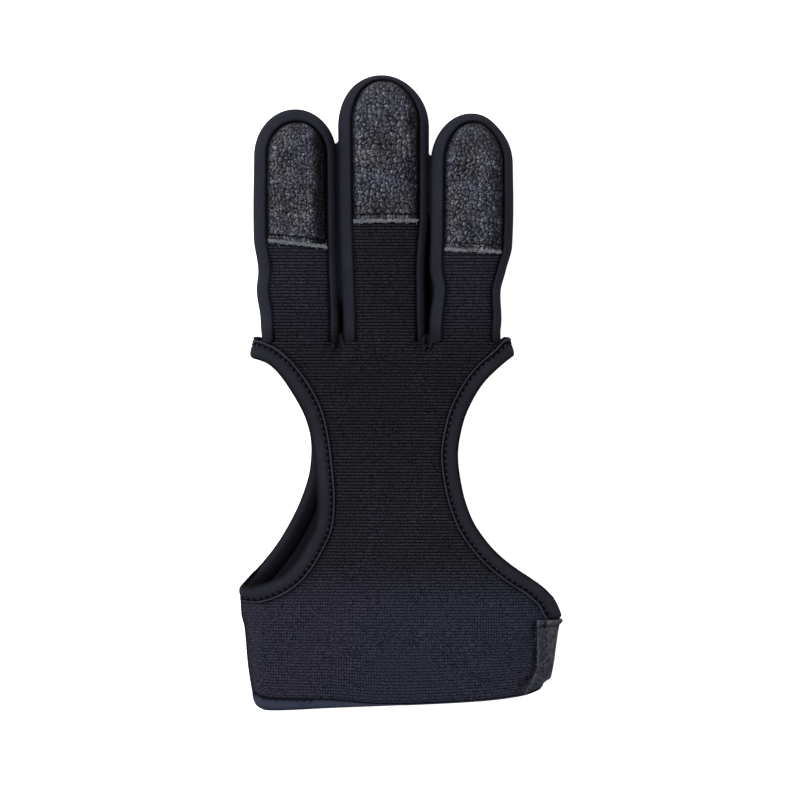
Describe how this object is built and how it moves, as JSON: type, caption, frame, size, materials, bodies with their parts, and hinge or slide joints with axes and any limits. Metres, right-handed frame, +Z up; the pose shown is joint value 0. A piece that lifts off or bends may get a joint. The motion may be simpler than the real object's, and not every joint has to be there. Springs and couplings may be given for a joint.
{
  "type": "archery glove",
  "caption": "Empty archery glove lying palm up: ribbed knit front, smooth stretch back, leather fingertips, bound side openings, hemmed wrist and a wrist strap that closes on the back.",
  "frame": {"origin": "middle of the footprint of the lying glove, on the surface it lies on", "axes": "+Y towards the fingertips, +Z up out of the palm, +X to the right as seen palm up with the fingers away from the viewer"},
  "size_m": [0.1088, 0.2156, 0.014],
  "materials": {
    "knit": "ribbed black knit",
    "stretch": "smooth matt black stretch cloth",
    "binding": "smooth matt black folded edge",
    "leather": "pebble-grained black leather with a soft sheen",
    "strap": "smooth coated black strap",
    "fastener": "black hook and loop"
  },
  "bodies": {
    "root": {"knit_front": "knit", "stretch_back": "stretch", "binding_left": "binding", "binding_right": "binding", "leather_tip_left": "leather", "leather_tip_middle": "leather", "leather_tip_right": "leather", "wrist_hem": "binding", "wrist_strap": "strap", "hook_patch": "fastener", "loop_patch": "fastener"}
  },
  "joints": []
}
